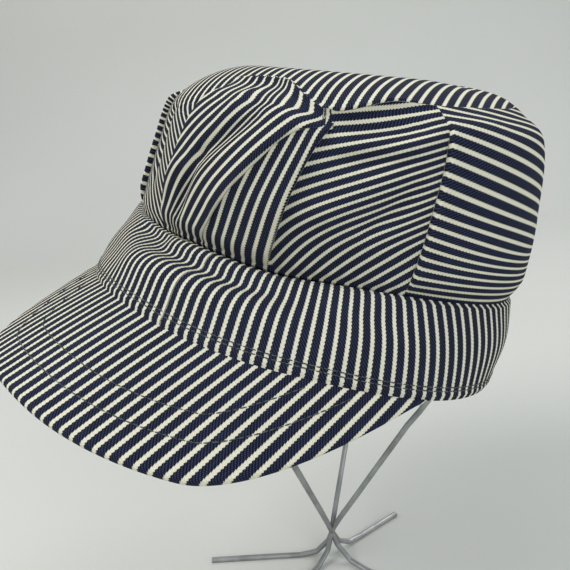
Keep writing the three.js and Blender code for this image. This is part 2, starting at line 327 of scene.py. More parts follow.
# The ridge where the wall turns over into the top: its level over the front, at the front fold's end and over
# the corner, and the shares between which it goes from one to the next.
RIDGE_LEVEL = 0.56
RIDGE = {
    "front": 0.64, "fold": 0.51, "corner": 0.57, "start": (-0.12, -0.03), "dip": (0.045, 0.104),
    "rise": (0.104, 0.165),
}
# How far above and below itself the ridge bends the mesh's rows
RIDGE_BENDS = 0.24
# The stripes turn within this much of the ridge, and its rows are closer together within the second value
RIDGE_TURN = 0.0003
RIDGE_NEAR = 0.035
# Over the front the ridge is a gathered crest. "gather" is the height of its gathers and "apart" their share.
# Pairs of shares are where it comes in and goes out.
CREST = {
    "comes": (-0.05, 0.02), "goes": (0.10, 0.11), "wide": 2.2, "high": 1.0, "gather": 0.7, "apart": 0.0115,
}
# Over the left corner the ridge hangs over a hollow. The other pairs are millimetres above the ridge.
OVERHANG = {
    "comes": (0.088, 0.118), "goes": (0.15, 0.20), "high": 2.0, "edge": (-1.6, 0.6), "wide": 9,
    "hollow": 1.8, "hollow_below": (-16, -1.2), "hollow_above": (-1.2, 0.8),
}


def ridge_level(share):
    local = wrap_share(share)
    level = mix(RIDGE_LEVEL, RIDGE["front"], smoothstep(*RIDGE["start"], local))
    level = mix(level, RIDGE["fold"], smoothstep(*RIDGE["dip"], local))
    return mix(level, RIDGE["corner"], smoothstep(*RIDGE["rise"], local))


def ridge_height(share, level):
    """How far the ridge stands out, at a level of the mesh before the ridge bends its rows."""
    local = wrap_share(share)
    away = (level - RIDGE_LEVEL) * LEVEL_SCALE
    front = smoothstep(*CREST["comes"], local) * (1 - smoothstep(*CREST["goes"], local))
    crest = np.exp(-((away / CREST["wide"]) ** 2))
    gathers = 0.5 + 0.5 * np.cos(2 * np.pi * local / CREST["apart"])
    corner = smoothstep(*OVERHANG["comes"], local) * (1 - smoothstep(*OVERHANG["goes"], local))
    over = smoothstep(*OVERHANG["edge"], away) * np.exp(-np.maximum(away, 0) / OVERHANG["wide"])
    hollow = smoothstep(*OVERHANG["hollow_below"], away) * (1 - smoothstep(*OVERHANG["hollow_above"], away))
    hangs = OVERHANG["high"] * over - OVERHANG["hollow"] * hollow
    return front * crest * (CREST["high"] + CREST["gather"] * gathers) + corner * hangs


# Stripes on the front and its left corner. A share here is this many millimetres of cloth.
FRONT_ROUND = 435.0
FRONT_GRAIN = 61.0
# In the front's valley some stripes are taken up, this far from the tuck and over this width
VALLEY = {"stripes": 1.6, "from_tuck": 0.052, "half_width": 0.013}
# The lower front cloth's stripes lie along its fold and close up toward the shoulder
LOWER_FRONT = {"wide_at_seam": 0.0125, "narrowing": 0.0105, "edge": 0.0022}
# The corner's stripes fan out from its top line, and toward the side fold most of them are pinched together
CORNER = {
    "first_stripe": 8, "start": 0.065, "end": 0.185, "level_at_start": 0.478, "level_at_end": 0.58,
    "stripe_level": 0.045, "pinched": 9.0, "pinch_from": 0.0, "pinch_to": 0.42, "pinch_past_end": 1.2,
}
# The left side's stripes start at its front edge and fall toward the back
SIDE = {
    "first_stripe": 10, "start": 0.19, "level": 0.535, "stripe_level": 0.0325, "fall": 1.0,
    "level_below": 0.2,
}
# The top's stripes run front to back, turned a little: across them, in the cap's own frame
TOP_ACROSS = (0.966, 0.26)
TOP_PITCH = 3.75
TOP_FIRST = 7.49
# On the cloths that the picture doesn't show, the stripes turn into the top's between these levels
PLAIN_TURN = (0.36, 0.54)


def front_upper_stripes(share, level):
    """Stripes side by side from the tuck, with some taken up where the cloth goes down into the valley."""
    gap = fold_at(FRONT_TUCK, level) - share
    pitch = STRIPE_PITCH / math.sin(math.radians(FRONT_GRAIN)) / FRONT_ROUND
    low, high = VALLEY["from_tuck"] - VALLEY["half_width"], VALLEY["from_tuck"] + VALLEY["half_width"]
    return -gap / pitch - VALLEY["stripes"] * smoothstep(low, high, gap)


def front_lower_stripes(share, level):
    wide = LOWER_FRONT["wide_at_seam"] - LOWER_FRONT["narrowing"] * np.clip(level, 0, SHOULDER)
    return (share - fold_at(FRONT_RIGHT, level) + LOWER_FRONT["edge"]) / wide


def corner_stripes(share, level):
    part = (share - CORNER["start"]) / (CORNER["end"] - CORNER["start"])
    depth = mix(CORNER["level_at_start"], CORNER["level_at_end"], part) - level
    pinched = CORNER["pinched"] * np.clip(part, 0, CORNER["pinch_past_end"])
    taken_up = pinched * smoothstep(CORNER["pinch_from"], CORNER["pinch_to"], depth)
    return CORNER["first_stripe"] + depth / CORNER["stripe_level"] + taken_up


def side_stripes(share, level):
    fall = SIDE["fall"] * (share - SIDE["start"]) * smoothstep(0, SIDE["level_below"], level)
    return SIDE["first_stripe"] + (SIDE["level"] - level - fall) / SIDE["stripe_level"]


def top_place(points):
    """Place across the top's stripes, in stripes, and along them, in millimetres."""
    across = (points[..., 0] * TOP_ACROSS[0] + points[..., 1] * TOP_ACROSS[1]) / TOP_PITCH - TOP_FIRST
    return across, -points[..., 0] * TOP_ACROSS[1] + points[..., 1] * TOP_ACROSS[0]


def cloth_middle(index):
    """The share of the middle of a stretch of cloth."""
    last = index == len(FOLD_ROWS) - 1
    after = FOLD_ROWS[(index + 1) % len(FOLD_ROWS)]
    return 0.5 * (FOLD_ROWS[index]["at"][1] + after["at"][1]) + (0.5 if last else 0.0)


def cloth_place(index, share, level, points, overhang):
    """Place across the stripes, in stripes, along them, in millimetres, and a zero."""
    name = CLOTH_ROWS[index]["name"]
    angle = math.radians(CLOTH_ROWS[index]["grain"])
    middle = cloth_middle(index)
    side = wrap_share(share - middle) * ROUND_SCALE
    wall = (level - SHOULDER) * LEVEL_SCALE
    along = side * math.cos(angle) + wall * math.sin(angle)
    top, top_along = top_place(points)
    local = wrap_share(share)
    blend = smoothstep(-RIDGE_TURN, RIDGE_TURN, level - ridge_level(share))
    if name == "front_upper":
        across = front_upper_stripes(local, level)
    elif name == "front_lower":
        across = front_lower_stripes(local, level)
    elif name == "corner_front_left":
        across = corner_stripes(local, level + overhang / LEVEL_SCALE)
    elif name == "side_left":
        across = side_stripes(local, level)
    else:
        start = top_place(crown_base(np.array(middle), np.array(SHOULDER)))[0]
        across = start + (side * math.sin(angle) - wall * math.cos(angle)) / STRIPE_PITCH
        blend = smoothstep(*PLAIN_TURN, level)
    across = across * (1 - blend) + top * blend
    return np.stack([across, along * (1 - blend) + top_along * blend, np.zeros_like(across)], -1)


# The rolled edge of a fold, from the upper cloth to the lower: a distance past the edge, the same where the
# fold has run out, and the part of the fold's depth that the cloth stands at.
ROLL_ROWS = [
    {"past": -3.2, "flat": -3.2, "stand": 1.0, "upper": True},
    {"past": -1.8, "flat": -2.2, "stand": 1.0, "upper": True},
    {"past": -0.8, "flat": -1.4, "stand": 0.95, "upper": True},
    {"past": -0.25, "flat": -0.8, "stand": 0.80, "upper": True},
    {"past": 0.0, "flat": -0.4, "stand": 0.60, "upper": True},
    {"past": 0.02, "flat": -0.1, "stand": 0.32, "upper": True},
    {"past": 0.0, "flat": 0.1, "stand": 0.10, "upper": True},
    {"past": 0.05, "flat": 0.2, "stand": 0.02, "upper": False},
    {"past": 0.35, "flat": 0.5, "stand": 0.0, "upper": False},
    {"past": 0.9, "flat": 1.8, "stand": 0.0, "upper": False},
    {"past": 2.6, "flat": 2.8, "stand": 0.0, "upper": False},
]
# The cloth between folds starts this far from them, in millimetres, clear of the rolled edges
ROLL_MARGIN = 3.8
# How many rows the crown's mesh has on each stretch up. The lowest crowd to the seam, below "low_to".
CROWN_ROWS = {
    "low": 6, "low_to": 0.06, "low_power": 1.3, "wall": 56, "below_ridge": 9, "above_ridge": 8, "top": 32,
}


def crown_levels():
    """The levels of the crown's rows, closer together at the seam and at the ridge."""
    low = CROWN_ROWS["low_to"] * np.linspace(0, 1, CROWN_ROWS["low"] + 1)[:-1] ** CROWN_ROWS["low_power"]
    near, far = RIDGE_LEVEL - RIDGE_NEAR, RIDGE_LEVEL + RIDGE_NEAR
    wall = np.linspace(CROWN_ROWS["low_to"], near, CROWN_ROWS["wall"], endpoint=False)
    below = np.linspace(near, RIDGE_LEVEL - RIDGE_TURN, CROWN_ROWS["below_ridge"])
    above = np.linspace(RIDGE_LEVEL + RIDGE_TURN, far, CROWN_ROWS["above_ridge"], endpoint=False)
    return np.concatenate([low, wall, below, above, np.linspace(far, LAST_RING, CROWN_ROWS["top"])])


def crown_columns():
    """The columns of the crown's mesh, in order round the cap. Each has the cloth that it is part of."""
    columns = []
    count = len(FOLD_ROWS)
    for index, cloth in enumerate(CLOTH_ROWS):
        following = (index + 1) % count
        before, after = FOLD_ROWS[index], FOLD_ROWS[following]
        turn = 1.0 if following == 0 else 0.0
        for step in range(cloth["columns"] + 1):
            part = step / cloth["columns"]
            columns.append({"cloth": index, "before": before, "after": after, "turn": turn, "part": part})
        if after["over"] == "before":
            side, upper, lower, rolls = 1.0, index, following, ROLL_ROWS
        else:
            side, upper, lower, rolls = -1.0, following, index, ROLL_ROWS[::-1]
        for roll in rolls:
            part_of = upper if roll["upper"] else lower
            columns.append({"cloth": part_of, "fold": after, "turn": turn, "side": side, "roll": roll})
    return columns


def column_share(column, levels, fade):
    """Where a column stands at each level, as a share of the way round."""
    if "roll" in column:
        past = mix(column["roll"]["flat"], column["roll"]["past"], fade)
        return fold_at(column["fold"], levels) + column["turn"] + column["side"] * past / ROUND_SCALE
    low = fold_at(column["before"], levels) + ROLL_MARGIN / ROUND_SCALE
    high = fold_at(column["after"], levels) + column["turn"] - ROLL_MARGIN / ROUND_SCALE
    return mix(low, high, column["part"])


def column_raise(column, share, levels, fade):
    """How far a column's cloth stands out over the corners, in millimetres."""
    if "roll" in column:
        stand = fade * column["fold"]["depth"] * column["roll"]["stand"]
        return PANEL_RAISE * fade + stand if column["fold"] is FRONT_TUCK else stand
    cloth = CLOTH_ROWS[column["cloth"]]
    raised = cloth["raised"] * PANEL_RAISE * fade
    if cloth["name"] == "front_upper":
        gap = (fold_at(FRONT_TUCK, levels) - share) * ROUND_SCALE
        raised = raised + FRONT_TUCK["depth"] * fade * np.exp(-((gap / TUCK_WIDTH) ** 2))
    return raised


def crown_grid():
    """The crown's outer points, their places on the cloth and its inside points, level by level."""
    levels = crown_levels()
    fade = fold_fade(levels)
    seam_dip = SEAM_DIP["depth"] * (1 - smoothstep(0.0, SEAM_DIP["level"], levels))
    bend = 1 - smoothstep(0.0, RIDGE_BENDS, np.abs(levels - RIDGE_LEVEL))
    points, cloth, inside = [], [], []
    for column in crown_columns():
        share = column_share(column, levels, fade)
        level = levels + bend * (ridge_level(share) - RIDGE_LEVEL)
        base = crown_base(share, level)
        normal = crown_normal(share, level)
        overhang = ridge_height(share, levels)
        height = column_raise(column, share, levels, fade) + dent_height(share, level) + overhang
        height = height - seam_dip
        points.append(base + normal * height[:, None])
        inside.append(base + normal * (np.minimum(height, 0) - CROWN_CLOTH)[:, None])
        cloth.append(cloth_place(column["cloth"], share, level, base, overhang))
    return [np.array(grid).transpose(1, 0, 2) for grid in (points, cloth, inside)]


def make_crown():
    """The crown as one closed shell: its inside face from the top down, the hem, and its outer face up."""
    points, cloth, inside = crown_grid()
    hem = points[0] - np.array([0, 0, HEM_DROP]) - unit(points[0] * [1, 1, 0]) * HEM_INWARD
    lining = inside[INSIDE_FIRST::INSIDE_STEP][::-1]
    grid = np.concatenate([lining, [hem], points])
    places = np.concatenate([cloth[INSIDE_FIRST::INSIDE_STEP][::-1], cloth[:1], cloth])
    rows, columns = grid.shape[:2]
    middles = np.array([[0, 0, CROWN_MIDDLE], [0, 0, CROWN_MIDDLE - CROWN_CLOTH]])
    middle_places = np.array([[-TOP_FIRST, 0, 0]] * 2)
    faces = grid_faces(rows, columns, True, False)
    last = (rows - 1) * columns
    outer_middle, inner_middle = rows * columns, rows * columns + 1
    for column in range(columns):
        after = (column + 1) % columns
        faces.append((last + column, last + after, outer_middle))
        faces.append((after, column, inner_middle))
    grid = np.concatenate([grid.reshape(-1, 3), middles])
    places = np.concatenate([places.reshape(-1, 3), middle_places])
    crown = make_mesh("crown_cloth", to_world(grid), faces, places)
    lining_end = len(lining) * columns
    reverse = [int(max(face) < lining_end or face[2] == inner_middle) for face in faces]
    crown.data.polygons.foreach_set("material_index", reverse)
    return crown


# The band
BAND_STEPS = 720
BAND_FIRST_STRIPE = 2.72
BAND_WALL = 2.2
# The band stands out most at its front, and the power says how soon that fades to the sides
BAND_BULGE = {"front": 5.0, "sides": 1.5, "power": 3}
# It is drawn in along the seam, by this many millimetres and within this part of its height
BAND_SEAM_DIP = {"depth": 1.3, "reach": 0.05}
# Dents in the band: where each is round the cap and how far it reaches, and the same up the band
BAND_DENTS = [
    {"share": -0.005, "reach": 0.085, "up": 0.74, "wide": 0.10, "height": -3.6},
    {"share": -0.005, "reach": 0.10, "up": 0.46, "wide": 0.20, "height": 2.2},
    {"share": -0.095, "reach": 0.03, "up": 0.86, "wide": 0.10, "height": -2.5},
    {"share": -0.12, "reach": 0.035, "up": 0.40, "wide": 0.22, "height": -1.6},
    {"share": 0.13, "reach": 0.05, "up": 0.70, "wide": 0.14, "height": -1.2},
    {"share": 0.30, "reach": 0.06, "up": 0.55, "wide": 0.30, "height": 1.2},
    {"share": 0.45, "reach": 0.05, "up": 0.60, "wide": 0.25, "height": -1.2},
    {"share": 0.62, "reach": 0.06, "up": 0.45, "wide": 0.25, "height": 1.2},
    {"share": 0.78, "reach": 0.05, "up": 0.60, "wide": 0.22, "height": -1.2},
]
# Heights of its rows: on the outer face by the seam and on the wall, at the bottom edge with how far inward
# the cloth lies there, and on the inner face
BAND_SEAM_ROWS = (1.0, 0.995, 0.985, 0.97, 0.955)
BAND_WALL_ROWS = np.linspace(0.93, 0.11, 34)
BAND_EDGE_ROWS = ((0.09, 0.0), (0.065, -0.2), (0.04, -0.35), (0.015, 0.0), (0.0, 0.25))
BAND_INNER_ROWS = (0.0, 0.1, 0.3, 0.5, 0.7, 0.9, 0.99, 1.0)
# The rolled bottom edge hangs this far down, and its rows lie at these degrees round the roll
BAND_ROLL_DROP = 0.8
BAND_ROLL_TURNS = (30, 60, 90, 120, 150)


def band_surface(share, up):
    """A point of the band's outer face and its normal, up from 0 at the bottom to 1 at the seam."""
    share, up = np.broadcast_arrays(np.asarray(share, float), np.asarray(up, float))
    bottom, seam = band_bottom(share), band_seam(share)
    normal = unit(np.cross(band_bottom_way(share), seam - bottom))
    near_front = (0.5 + 0.5 * np.cos(2 * np.pi * share)) ** BAND_BULGE["power"]
    bulge = mix(BAND_BULGE["sides"], BAND_BULGE["front"], near_front) * np.sin(np.pi * up)
    for row in BAND_DENTS:
        near = np.exp(-((wrap_share(share - row["share"]) / row["reach"]) ** 4))
        bulge = bulge + row["height"] * near * np.exp(-(((up - row["up"]) / row["wide"]) ** 2))
    dip = BAND_SEAM_DIP["depth"] * (1 - smoothstep(0.0, BAND_SEAM_DIP["reach"], 1 - up))
    return bottom + (seam - bottom) * up[..., None] + normal * (bulge - dip)[..., None], normal


def band_stripes(share):
    """Place across the band's stripes, in stripes: as many whole ones as fit round the head opening."""
    round_so_far = running_lengths(np.diff(band_bottom(np.append(share, 1.0)), axis=0))
    stripes = round(round_so_far[-1] / STRIPE_PITCH)
    return round_so_far[:-1] / round_so_far[-1] * stripes - BAND_FIRST_STRIPE


def make_band():
    """The band's outer face, its rolled bottom edge and its inner face, as one closed ring."""
    share = np.arange(BAND_STEPS) / BAND_STEPS
    across = band_stripes(share)
    way = unit(band_seam(share) - band_bottom(share))
    rings, places = [], []

    def ring(up, inward, drop):
        point, normal = band_surface(share, np.full_like(share, up))
        rings.append(point - normal * inward - way * drop)
        height = up * BAND_STRIP["height"] - drop - inward
        places.append(np.stack([across, np.full_like(share, height), np.zeros_like(share)], -1))

    for up in (*BAND_SEAM_ROWS, *BAND_WALL_ROWS):
        ring(up, 0.0, 0.0)
    for up, inward in BAND_EDGE_ROWS:
        ring(up, inward, 0.0)
    edge_inward = BAND_EDGE_ROWS[-1][1]
    for turn in BAND_ROLL_TURNS:
        angle = math.radians(turn)
        ring(0.0, edge_inward + BAND_WALL / 2 * (1 - math.cos(angle)), BAND_ROLL_DROP * math.sin(angle))
    for up in BAND_INNER_ROWS:
        ring(up, BAND_WALL, 0.0)
    rings, places = np.array(rings)[::-1], np.array(places)[::-1]
    return make_mesh("band_cloth", to_world(rings), grid_faces(len(rings), BAND_STEPS, True, True), places)


# The visor runs out from the band's bottom edge, all one way in the cap's own frame
VISOR_WAY = unit(np.array([-0.093, -0.918, -0.386]))
VISOR_THICK = 4.0
# It keeps its full reach as far round as "square_to" and has narrowed by "taper_to". Its ends are at 1.
VISOR = {"reach": 54, "end_reach": 3, "square_to": 0.37, "taper_to": 0.95}
VISOR_END = 0.19
VISOR_MIDDLE = 0.004
VISOR_FIRST_STRIPE = 5.18
# It lies this far under the band's edge and goes this far in under it
PIECE_GAP = 0.4
VISOR_TUCK = 2.0
# Its top is padded to this height, and before its round edge it is flat for at least the second value
VISOR_CREST = 0.5
VISOR_LEAST_FLAT = 0.3
# Its mesh: lines round the cap, rows out along the top, degrees round the edge, and rows back underneath
VISOR_STEPS = 420
VISOR_TOP_ROWS = 30
VISOR_EDGE_TURNS = (15, 30, 45, 60, 75, 90, 110, 130, 150, 170, 180)
VISOR_UNDER_ROWS = (0.9, 0.7, 0.5, 0.3, 0.1, 0.0)


def visor_reach(turn):
    """How far the visor runs out, from -1 at the wearer's right end to 1 at the left end."""
    taper = smoothstep(VISOR["square_to"], VISOR["taper_to"], np.abs(turn))
    return mix(VISOR["reach"], VISOR["end_reach"], taper)


def visor_lines():
    """The visor's straight lines: their starts, lengths, places across the visor and normals."""
    turn = np.linspace(-1, 1, VISOR_STEPS + 1)
    share = VISOR_END * np.sin(np.pi / 2 * turn) + VISOR_MIDDLE
    start = band_bottom(share) - np.array([0, 0, PIECE_GAP])
    normal = unit(np.cross(band_bottom_way(share), VISOR_WAY))
    normal *= np.sign(normal[:, 2:3])
    width = running_lengths(np.cross(np.diff(start, axis=0), VISOR_WAY))
    middle = np.interp(0.0, share, width)
    return start, visor_reach(turn), width - middle, normal


def make_visor():
    """The visor as one closed plate: out along the top, round the edge and back underneath."""
    start, reach, width, normal = visor_lines()
    across = width / STRIPE_PITCH + VISOR_FIRST_STRIPE
    depth = start @ VISOR_WAY
    beside = unit(-np.cross(np.gradient(start, axis=0), [0, 0, 1]))
    away = np.sign((beside * start).sum(1))[:, None] * beside
    rings, places = [], []

    def ring(out, drop, tuck=0.0):
        rings.append(start + VISOR_WAY * out[:, None] - normal * drop - away * tuck)
        places.append(np.stack([across, -(depth + out) - drop, np.zeros_like(out)], -1))

    half = VISOR_THICK / 2
    flat = np.maximum(reach - half, VISOR_LEAST_FLAT)
    ring(np.zeros_like(reach), 0.0, VISOR_TUCK)
    for part in np.linspace(0, 1, VISOR_TOP_ROWS):
        ring(flat * part, -VISOR_CREST * math.sin(math.pi * part))
    for turn in VISOR_EDGE_TURNS:
        angle = math.radians(turn)
        ring(flat + np.minimum(half, reach) * math.sin(angle), half * (1 - math.cos(angle)))
    for part in VISOR_UNDER_ROWS:
        ring(flat * part, VISOR_THICK)
    ring(np.zeros_like(reach), VISOR_THICK, VISOR_TUCK)
    rings, places = np.array(rings)[::-1], np.array(places)[::-1]
    rows, count = rings.shape[:2]
    faces = grid_faces(rows, count, False, True)
    faces.append(tuple(row * count for row in range(rows)))
    faces.append(tuple(row * count + count - 1 for row in range(rows - 1, -1, -1)))
    return make_mesh("visor_cloth", to_world(rings), faces, places)


# Stitches: short lengths of thread along a line, thickest in their middle and with their ends in the cloth
STITCH = {
    "long": 2.3, "gap": 0.45, "thick": 0.26, "sides": 6, "rings": 7, "first_at": 0.3, "end": 0.04,
    "sunk": 0.45, "end_thick": 0.55, "swell": 0.45,
}
# Two rows on the visor, this far inside its edge. They end this far from the band, and may stray this much.
VISOR_STITCH_INSETS = (13.0, 23.5)
VISOR_STITCH_FROM_BAND = 3.0
VISOR_STITCH_STRAY = 0.2
# Two rows along the band's bottom edge: how far up each lies, and how far round it starts in millimetres
BAND_STITCH_ROWS = ((0.125, 0.0), (0.085, 0.5))
BAND_STITCH_POINTS = 1200


def along_line(at, lengths, values):
    """Values given along a line, at other places along it."""
    return np.stack([np.interp(at, lengths, values[:, axis]) for axis in range(3)], -1)


def stitches(name, lines):
    """One mesh of all the stitches along lines. Each line is its points and the normals there."""
    points, faces = [], []
    sides, rings = STITCH["sides"], STITCH["rings"]
    swell = np.sin(np.pi * np.linspace(STITCH["end"], 1 - STITCH["end"], rings))
    lift = STITCH["thick"] * (swell**0.5 - STITCH["sunk"])
    thick = STITCH["thick"] * (STITCH["end_thick"] + STITCH["swell"] * swell)
    step = STITCH["long"] + STITCH["gap"]
    sheath = grid_faces(rings, sides, True, False)
    for line, normals in lines:
        lengths = running_lengths(np.diff(line, axis=0))
        for begin in np.arange(STITCH["first_at"], lengths[-1] - step, step):
            at = begin + STITCH["long"] * np.linspace(0, 1, rings)
            middle = along_line(at, lengths, line)
            up = unit(along_line(at, lengths, normals))
            beside = np.cross(unit(np.gradient(middle, axis=0)), up)
            first = len(points)
            for index in range(rings):
                for side in range(sides):
                    angle = 2 * math.pi * side / sides
                    across = beside[index] * math.cos(angle) * thick[index]
                    across = across + up[index] * math.sin(angle) * thick[index]
                    points.append(middle[index] + up[index] * lift[index] + across)
            faces.extend([first + corner for corner in face] for face in sheath)
            faces.append(tuple(first + side for side in reversed(range(sides))))
            faces.append(tuple(first + (rings - 1) * sides + side for side in range(sides)))
    return make_mesh(name, to_world(np.array(points)), faces)


def visor_stitch_line(inset):
    """A line on the visor's top that stays one distance inside its rolled edge."""
    start, reach, width, normal = visor_lines()
    depth = start @ VISOR_WAY
    edge = np.stack([width, depth + reach], -1)
    way = unit(np.gradient(edge, axis=0))
    inner = edge + np.stack([way[:, 1], -way[:, 0]], -1) * inset
    keep = []
    for across, along in inner:
        if not width[0] < across < width[-1]:
            continue
        out = along - np.interp(across, width, depth)
        nearest = np.hypot(*(edge - (across, along)).T).min()
        if out > VISOR_STITCH_FROM_BAND and nearest > inset - VISOR_STITCH_STRAY:
            keep.append((across, out))
    across, out = np.array(keep).T
    line = along_line(across, width, start)
    normals = unit(along_line(across, width, normal))
    crest = VISOR_CREST * np.sin(np.pi * np.clip(out / np.interp(across, width, reach), 0, 1))
    return line + VISOR_WAY * out[:, None] + normals * crest[:, None], normals


def band_stitch_line(up, first):
    share = np.linspace(0, 1, BAND_STITCH_POINTS) + first / ROUND_SCALE
    return band_surface(share, np.full_like(share, up))


class Field:
    """A number or colour that changes over a surface, with the usual operators on numbers."""

    def __init__(self, finish, socket):
        self.finish = finish
        self.socket = socket

    def math(self, operation, *others):
        return self.finish.node("ShaderNodeMath", {"operation": operation}, [self, *others])

    def __add__(self, other):
        return self.math("ADD", other)

    def __sub__(self, other):
        return self.math("SUBTRACT", other)

    def __rsub__(self, other):
        return self.finish.node("ShaderNodeMath", {"operation": "SUBTRACT"}, [other, self])

    def __mul__(self, other):
        return self.math("MULTIPLY", other)

    def __truediv__(self, other):
        return self.math("DIVIDE", other)

    __radd__ = __add__
    __rmul__ = __mul__

    def floor(self):
        return self.math("FLOOR")

    def fract(self):
        return self.math("FRACT")

    def size(self):
        return self.math("ABSOLUTE")

    def ramp(self, low, high):
        """0 below low, 1 above high and smooth between."""
        settings = {"interpolation_type": "SMOOTHSTEP"}
        inputs = {"Value": self, "From Min": low, "From Max": high}
        return self.finish.node("ShaderNodeMapRange", settings, inputs)


class Finish:
    """A material whose nodes are made one at a time from their type, settings and inputs."""

    def __init__(self, name):
        self.material = bpy.data.materials.new(name)
        self.material.use_nodes = True
        self.tree = self.material.node_tree
        self.shader = self.tree.nodes["Principled BSDF"]

    def node(self, kind, settings=None, inputs=None, output=0):
        made = self.tree.nodes.new(kind)
        for name, value in (settings or {}).items():
            setattr(made, name, value)
        pairs = enumerate(inputs) if isinstance(inputs, list) else (inputs or {}).items()
        for key, value in pairs:
            self.feed(made.inputs[key], value)
        return Field(self, made.outputs[output])

    def feed(self, socket, value):
        if isinstance(value, Field):
            self.tree.links.new(value.socket, socket)
        else:
            socket.default_value = value

    def mix(self, factor, first, second):
        """One colour over another by a factor. A Mix node's colour sockets are its inputs 6 and 7."""
        first = first if isinstance(first, Field) else (*first, 1)
        second = second if isinstance(second, Field) else (*second, 1)
        return self.node("ShaderNodeMix", {"data_type": "RGBA"}, {0: factor, 6: first, 7: second}, 2)

    def set(self, **values):
        """Sets the shader's own sockets, with underscores for spaces."""
        for name, value in values.items():
            self.feed(self.shader.inputs[name.replace("_", " ")], value)

    def bump(self, height, distance, strength):
        inputs = {"Height": height, "Distance": distance, "Strength": strength}
        self.set(Normal=self.node("ShaderNodeBump", {}, inputs))

    def noise(self, place, scale, detail):
        return self.node("ShaderNodeTexNoise", {}, {"Vector": place, "Scale": scale, "Detail": detail})

    def object_noise(self, scale, detail=2.0, stretch=None):
        place = self.node("ShaderNodeTexCoord", output=3)
        if stretch:
            place = self.node("ShaderNodeMapping", {}, {"Vector": place, "Scale": stretch})
        return self.noise(place, scale, detail)


NAVY = (0.005, 0.007, 0.022)
NAVY_FADED = (0.011, 0.017, 0.046)
NAVY_WEFT = (0.30, 0.34, 0.45)
CREAM = (0.77, 0.75, 0.585)
CREAM_DARK = (0.50, 0.49, 0.40)
REVERSE_GREY = (0.42, 0.46, 0.54)
# Each warp yarn floats over the weft for this many millimetres, and its neighbour a third of that further on
YARN_FLOAT = 1.45
YARNS_PER_FLOAT = 3
# How far from the middle of the weft's gap it still shows, and where two yarns meet, as parts of half a yarn
WEFT_SHOWS = (0.10, 0.24)
YARNS_MEET = {"navy": (0.55, 1.0), "cream": (0.6, 1.0)}
# How much of the weft's colour shows on the face and on the reverse, and how grey the reverse is
WEFT_SEEN = {"face": 0.12, "reverse": 0.85}
REVERSE_GREYED = 0.42
# A white stripe's half width and soft edge, in stripes, and the teeth that the weave gives its edge
WHITE_HALF = 0.165
WHITE_SOFT = 0.02
TOOTH = 0.045
# The navy fades in streaks along the yarns and in patches, and what is over "less" counts
STREAK = {"across": 0.7, "along": 0.16, "weight": 1.3}
PATCHES = {"scale": 38.0, "detail": 3.0, "weight": 0.7}
FADING = {"less": 0.72, "range": (0.1, 0.75)}
# How much darker the cream is where the weft shows, where two yarns meet (painted groove shade) and between
# streaks
CREAM_SHADE = {"weft": 0.35, "meet": 0.35, "streak": 0.2}
# How far a yarn stands out, how much of that is lost where the weft shows, and how strongly it is seen
YARN_BUMP = {"lost": 0.7, "distance": 0.00016, "strength": 0.55}


def denim(name, reverse=False):
    """Twill with white stripes on navy. The weft shows in slanting rows of flecks, and the weave gives the
    stripes toothed edges."""
    finish = Finish(name)
    place = finish.node("ShaderNodeAttribute", {"attribute_name": "cloth"}, output=1)
    across = finish.node("ShaderNodeSeparateXYZ", {}, [place], 0)
    along = finish.node("ShaderNodeSeparateXYZ", {}, [place], 1)
    yarn = across * YARNS_PER_STRIPE
    beside = (yarn.fract() - 0.5).size() * 2
    phase = (along / YARN_FLOAT + yarn.floor() / YARNS_PER_FLOAT).fract()
    slant = (along / YARN_FLOAT + yarn / YARNS_PER_FLOAT).fract()
    weft = 1 - (phase - 0.5).size().ramp(*WEFT_SHOWS)
    stripe = ((across + 0.5).fract() - 0.5).size()
    white = 1 - (stripe - (slant - 0.5) * (2 * TOOTH)).ramp(WHITE_HALF - WHITE_SOFT, WHITE_HALF + WHITE_SOFT)
    streak_place = [yarn * STREAK["across"], along * STREAK["along"], 0.0]
    streak = finish.noise(finish.node("ShaderNodeCombineXYZ", {}, streak_place), 1.0, 2.0)
    patches = finish.object_noise(PATCHES["scale"], PATCHES["detail"])
    worn = streak * STREAK["weight"] + patches * PATCHES["weight"] - FADING["less"]
    navy = finish.mix(worn.ramp(*FADING["range"]), NAVY, NAVY_FADED)
    fleck = weft * (1 - beside.ramp(*YARNS_MEET["navy"]))
    navy = finish.mix(fleck * WEFT_SEEN["reverse" if reverse else "face"], navy, NAVY_WEFT)
    # Darker cream where two yarns meet is painted shade in the groove between them; the weft and the streaks
    # darken it as its own colour
    shade = weft * CREAM_SHADE["weft"] + beside.ramp(*YARNS_MEET["cream"]) * CREAM_SHADE["meet"]
    cream = finish.mix(shade + (1 - streak) * CREAM_SHADE["streak"], CREAM, CREAM_DARK)
    colour = finish.mix(white, navy, cream)
    if reverse:
        colour = finish.mix(REVERSE_GREYED, colour, REVERSE_GREY)
    finish.set(Base_Color=colour, Roughness=0.86, Specular_IOR_Level=0.08)
    height = (1 - beside * beside) * (1 - weft * YARN_BUMP["lost"])
    finish.bump(height, YARN_BUMP["distance"], YARN_BUMP["strength"])
    return finish.material


# Dark thread, mottled and with a fine grain
THREAD = {"dark": (0.028, 0.036, 0.038), "light": (0.085, 0.100, 0.098), "scale": 900.0, "range": (0.3, 0.75)}
THREAD_GRAIN = {"scale": 2600.0, "distance": 0.0001, "strength": 0.4}


def thread_finish():
    finish = Finish("stitch_thread")
    shade = finish.object_noise(THREAD["scale"])
    colour = finish.mix(shade.ramp(*THREAD["range"]), THREAD["dark"], THREAD["light"])
    finish.set(Base_Color=colour, Roughness=0.6)
    grain = finish.object_noise(THREAD_GRAIN["scale"], 1.0)
    finish.bump(grain, THREAD_GRAIN["distance"], THREAD_GRAIN["strength"])
    return finish.material


